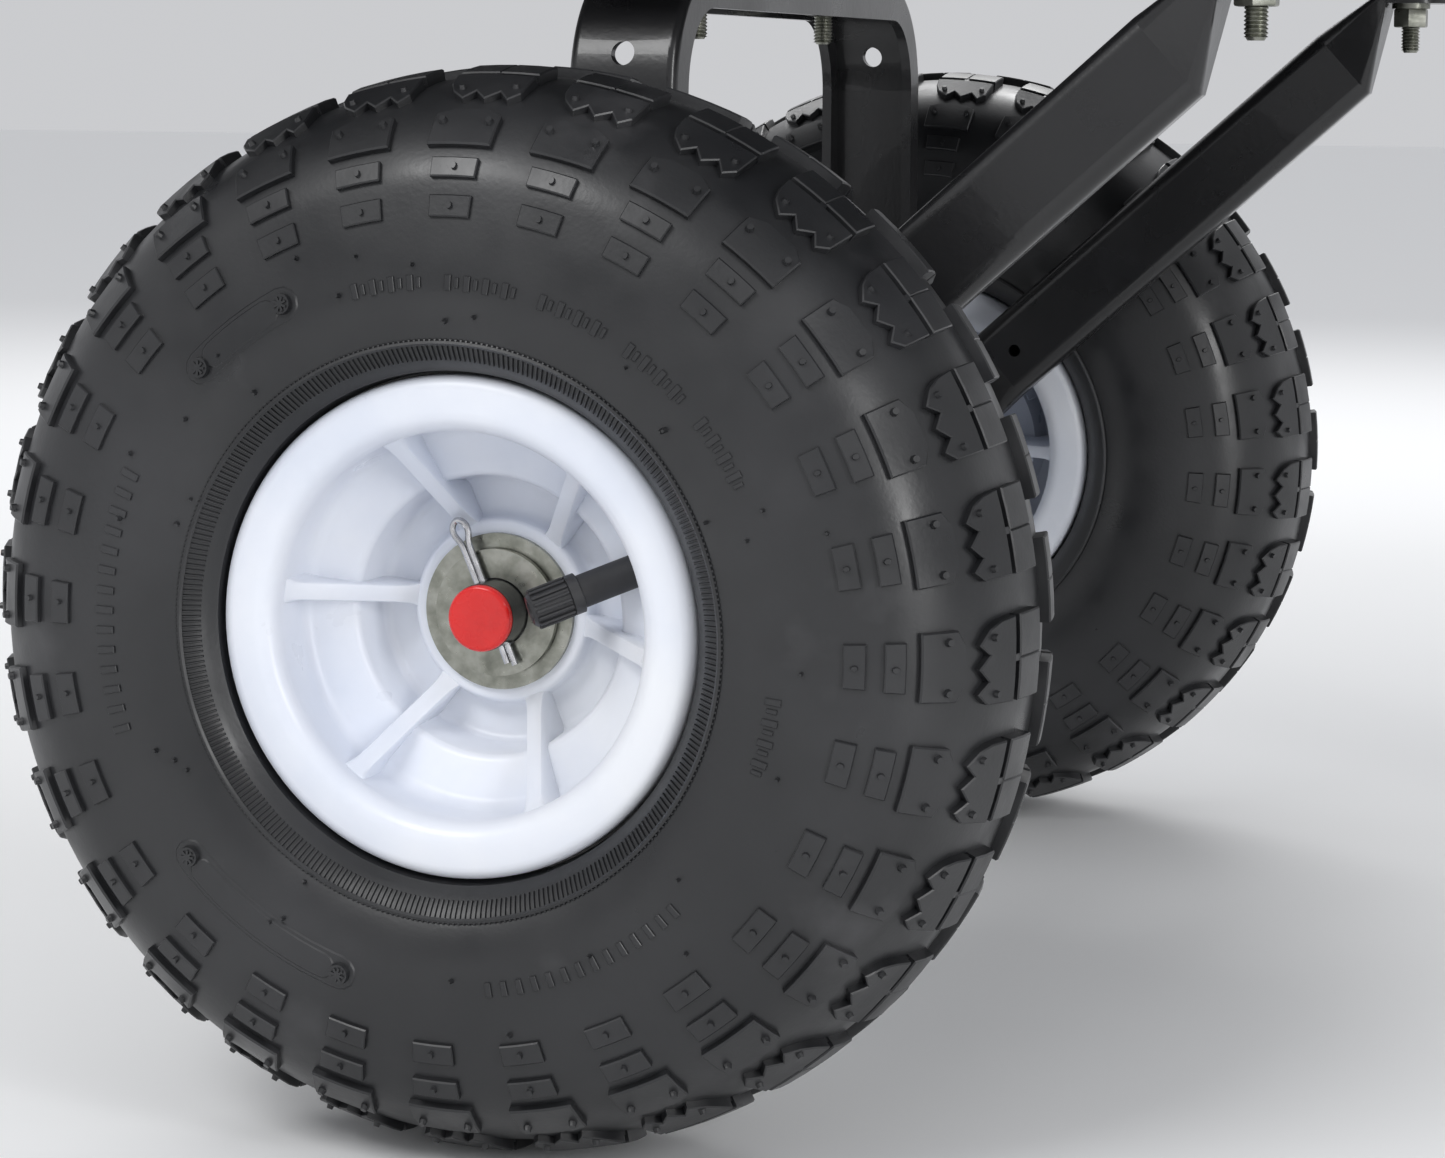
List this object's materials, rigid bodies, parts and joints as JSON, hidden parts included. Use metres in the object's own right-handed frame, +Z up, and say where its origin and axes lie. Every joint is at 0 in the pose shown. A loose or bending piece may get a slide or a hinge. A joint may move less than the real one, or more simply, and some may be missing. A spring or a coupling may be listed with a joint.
{
  "type": "tow behind cart",
  "caption": "Small tow-behind garden cart: moulded tub on a black tube frame, arch and struts over a dead axle, pneumatic wheels, clevis drawbar, fold-up stand.",
  "frame": {"origin": "on the ground below the middle of the bounding box", "axes": "+X forward, the way the cart is towed, +Y left, +Z up"},
  "size_m": [1.044, 0.528, 0.5625],
  "materials": {
    "tyre_rubber": "satin black rubber",
    "tube_rubber": "matt butyl rubber",
    "white_plastic": "semi-gloss moulded plastic",
    "frame_black": "black powder coat, semi-gloss",
    "zinc_steel": "zinc-plated steel",
    "bearing_steel": "ground bearing steel",
    "red_plastic": "gloss plastic",
    "black_plastic": "matt moulded plastic",
    "tub_plastic": "fine-grained polyethylene"
  },
  "bodies": {
    "cart": {"arch": "frame_black", "axle": "frame_black", "axle_centre_sleeve": "frame_black", "bed_cross_front": "frame_black", "bed_cross_rear": "frame_black", "drawbar": "frame_black", "frame_bolts": "zinc_steel", "frame_nuts": "zinc_steel", "frame_washers": "zinc_steel", "hitch_bolts": "zinc_steel", "hitch_lower_plate": "frame_black", "hitch_nuts": "zinc_steel", "hitch_upper_plate": "frame_black", "left_axle_cap": "red_plastic", "left_axle_washers": "zinc_steel", "left_bearing_races": "bearing_steel", "left_bed_rail": "frame_black", "left_split_pin": "zinc_steel", "left_strut": "frame_black", "pin_holder": "frame_black", "right_axle_cap": "red_plastic", "right_axle_washers": "zinc_steel", "right_bearing_races": "bearing_steel", "right_bed_rail": "frame_black", "right_split_pin": "zinc_steel", "right_strut": "frame_black", "stand_bracket": "frame_black", "stand_pivot_bolt": "zinc_steel", "stand_pivot_nut": "zinc_steel", "strut_spacers": "frame_black", "tub": "tub_plastic", "tub_bolts": "zinc_steel", "tub_nuts": "zinc_steel", "tub_washers": "zinc_steel", "tube_end_plugs": "black_plastic", "wheel_spacers": "frame_black"},
    "left_wheel": {"left_tyre": "tyre_rubber", "left_inner_tube": "tube_rubber", "left_valve_cap": "black_plastic", "left_rim": "white_plastic", "left_rim_centre": "white_plastic", "left_bearing_cups": "zinc_steel", "left_bearing_balls": "bearing_steel"},
    "right_wheel": {"right_tyre": "tyre_rubber", "right_inner_tube": "tube_rubber", "right_valve_cap": "black_plastic", "right_rim": "white_plastic", "right_rim_centre": "white_plastic", "right_bearing_cups": "zinc_steel", "right_bearing_balls": "bearing_steel"},
    "stand": {"stand_leg": "frame_black", "stand_foot": "black_plastic"},
    "pin": {"hitch_pin": "zinc_steel"}
  },
  "joints": [
    {"name": "left_wheel_spin", "type": "hinge", "parent": "cart", "child": "left_wheel", "pos_m": [-0.178, 0.213, 0.13], "axis": [0, 1, 0], "continuous": true},
    {"name": "right_wheel_spin", "type": "hinge", "parent": "cart", "child": "right_wheel", "pos_m": [-0.178, -0.213, 0.13], "axis": [0, 1, 0], "continuous": true},
    {"name": "stand_fold", "type": "hinge", "parent": "cart", "child": "stand", "pos_m": [0.342, 0, 0.276], "axis": [0, 1, 0], "range_deg": [0, 94]},
    {"name": "hitch_pin_lift", "type": "slide", "parent": "cart", "child": "pin", "axis": [0, 0, 1], "range_m": [0, 0.07]}
  ]
}
